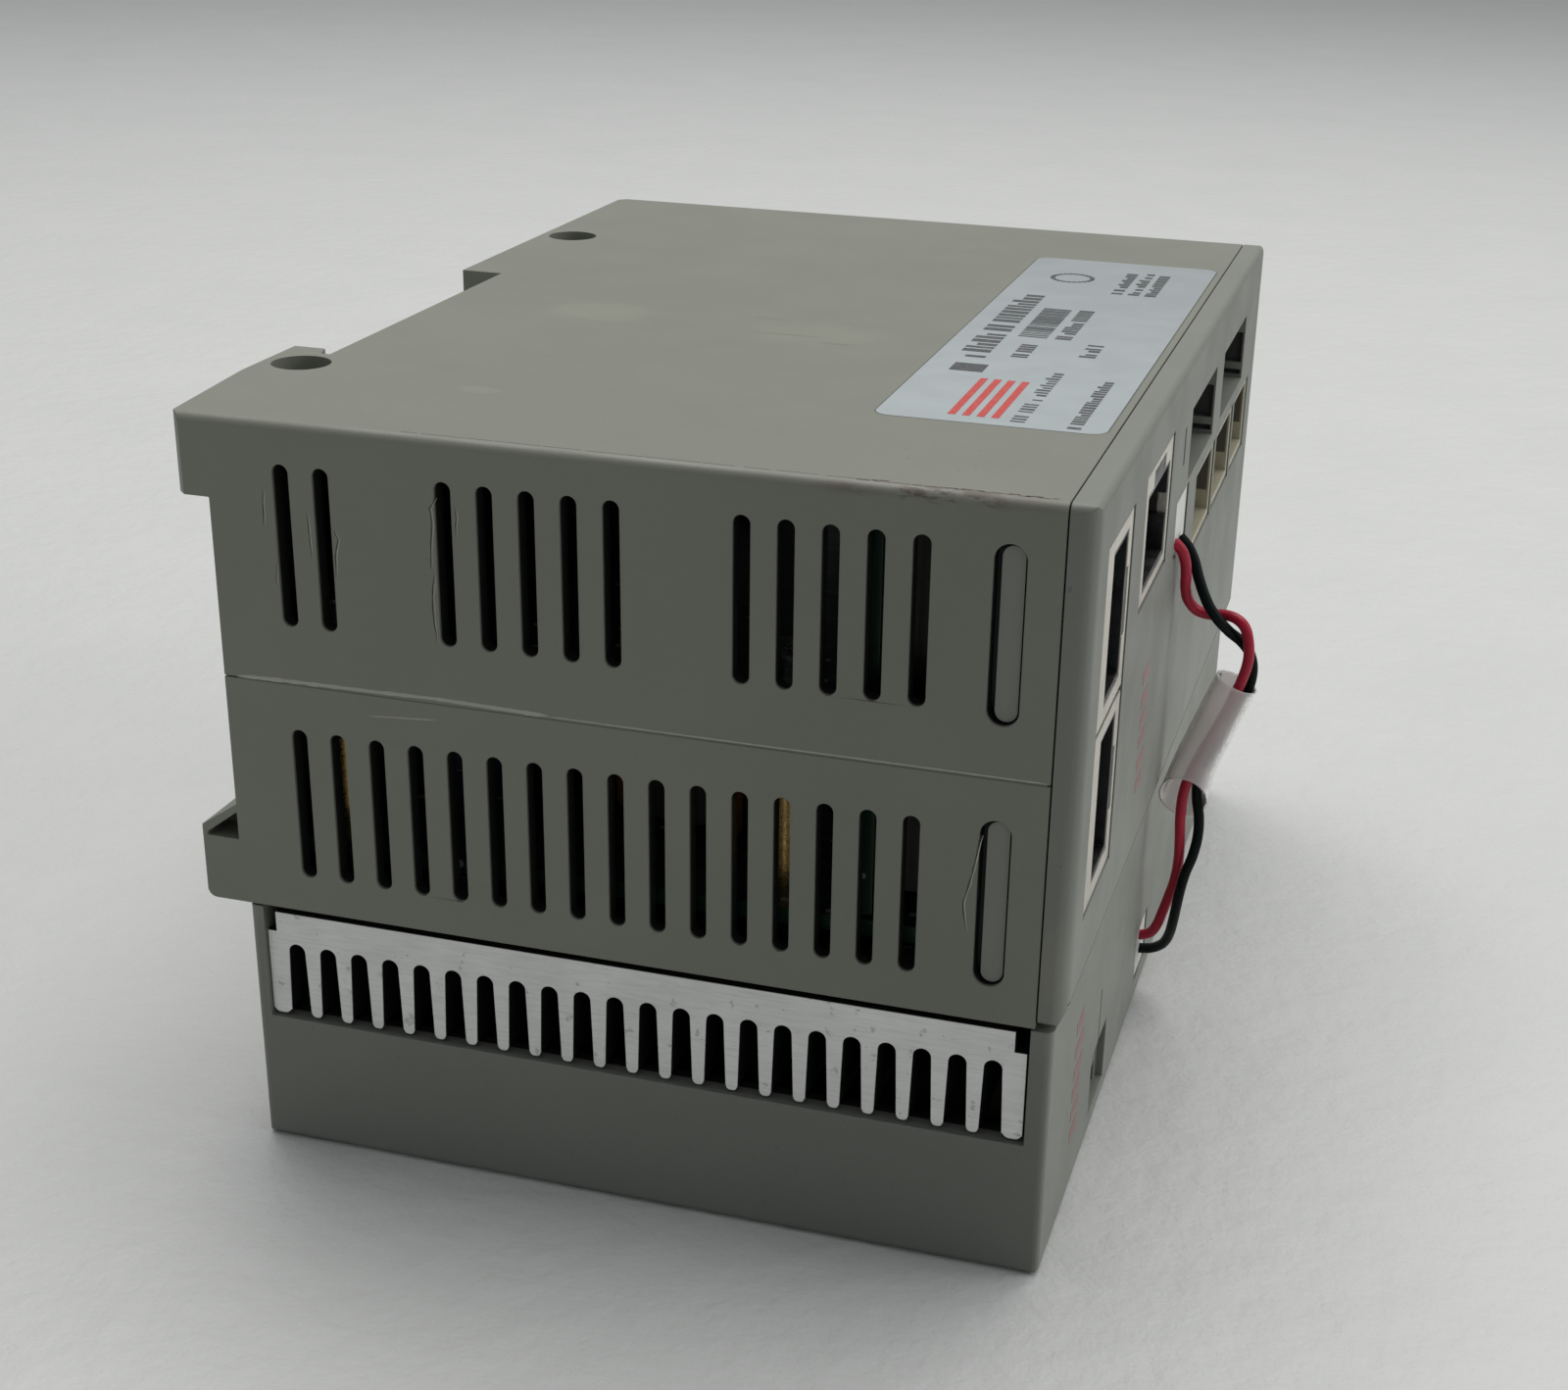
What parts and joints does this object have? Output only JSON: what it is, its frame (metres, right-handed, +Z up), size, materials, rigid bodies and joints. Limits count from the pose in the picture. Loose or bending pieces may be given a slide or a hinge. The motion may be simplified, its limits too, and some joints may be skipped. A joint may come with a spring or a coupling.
{
  "type": "servo drive",
  "caption": "Compact servo drive: vented grey plastic case with a connector panel, finned aluminium heatsink and a fan tray, with its fan lead.",
  "frame": {"origin": "middle of the footprint, on the surface that the fan tray lies on; the fan lead is not counted", "axes": "+X out of the connector panel, +Y along the case to its far vent wall, +Z up out of the labelled face"},
  "size_m": [0.0911, 0.112, 0.0713],
  "materials": {
    "case_grey": "fine moulded texture, warm grey",
    "panel_grey": "fine moulded texture, grey",
    "heatsink_aluminium": "extruded, matt",
    "label_film": "satin film",
    "circuit_board": "solder mask",
    "black_resin": "moulded",
    "thermal_silicone": "soft pad",
    "ferrite": "coated ferrite",
    "copper": "enamelled copper",
    "cream_nylon": "moulded nylon",
    "grey_nylon": "moulded nylon",
    "white_nylon": "moulded nylon",
    "ceramic": "glazed",
    "brass": "turned",
    "zinc_steel": "zinc plated",
    "jack_metal": "tinned sheet",
    "gold_contact": "gold flashed",
    "tinned_pin": "tinned",
    "lamp": "diffused",
    "smoked_acrylic": "smoked",
    "wire_red": "flexible insulation",
    "wire_black": "flexible insulation",
    "clear_sleeve": "clear heat-shrink",
    "capacitor_sleeve": "shrink sleeve",
    "fan_black": "glass-filled"
  },
  "bodies": {
    "drive": {"upper_shell": "case_grey", "lower_shell": "case_grey", "front_bezel": "panel_grey", "base_cover": "panel_grey", "heatsink": "heatsink_aluminium", "rating_label": "label_film", "power_board": "circuit_board", "control_board": "circuit_board", "io_board": "circuit_board", "power_module": "black_resin", "thermal_pad": "thermal_silicone", "capacitor_1": "capacitor_sleeve", "capacitor_2": "capacitor_sleeve", "capacitor_3": "capacitor_sleeve", "capacitor_4": "capacitor_sleeve", "choke_core": "ferrite", "choke_winding": "copper", "transformer": "cream_nylon", "relay": "black_resin", "fuse": "ceramic", "processor": "black_resin", "board_link": "black_resin", "board_posts": "brass", "board_screws": "zinc_steel", "heatsink_screws": "zinc_steel", "jack_shell_1": "jack_metal", "jack_shell_2": "jack_metal", "jack_shell_3": "jack_metal", "jack_insert_1": "black_resin", "jack_insert_2": "black_resin", "jack_insert_3": "black_resin", "jack_contacts": "gold_contact", "header_1": "grey_nylon", "header_2": "grey_nylon", "header_3": "cream_nylon", "header_4": "cream_nylon", "header_5": "cream_nylon", "header_pins": "tinned_pin", "status_lamp": "lamp", "light_pipe": "smoked_acrylic", "fan_header": "white_nylon", "fan_socket": "white_nylon", "fan_plug_upper": "white_nylon", "fan_plug_lower": "white_nylon", "fan_wire_red": "wire_red", "fan_wire_black": "wire_black", "wire_sleeve": "clear_sleeve", "fan_frame": "fan_black", "fan_bearing": "brass", "fan_stator": "copper", "fan_screws": "zinc_steel"},
    "fan_wheel": {"fan_rotor": "fan_black", "fan_magnet": "ferrite", "fan_shaft": "zinc_steel"}
  },
  "joints": [
    {"name": "fan_spin", "type": "hinge", "parent": "drive", "child": "fan_wheel", "pos_m": [0.00165, 0, 0.0068], "axis": [0, 0, 1], "continuous": true}
  ]
}
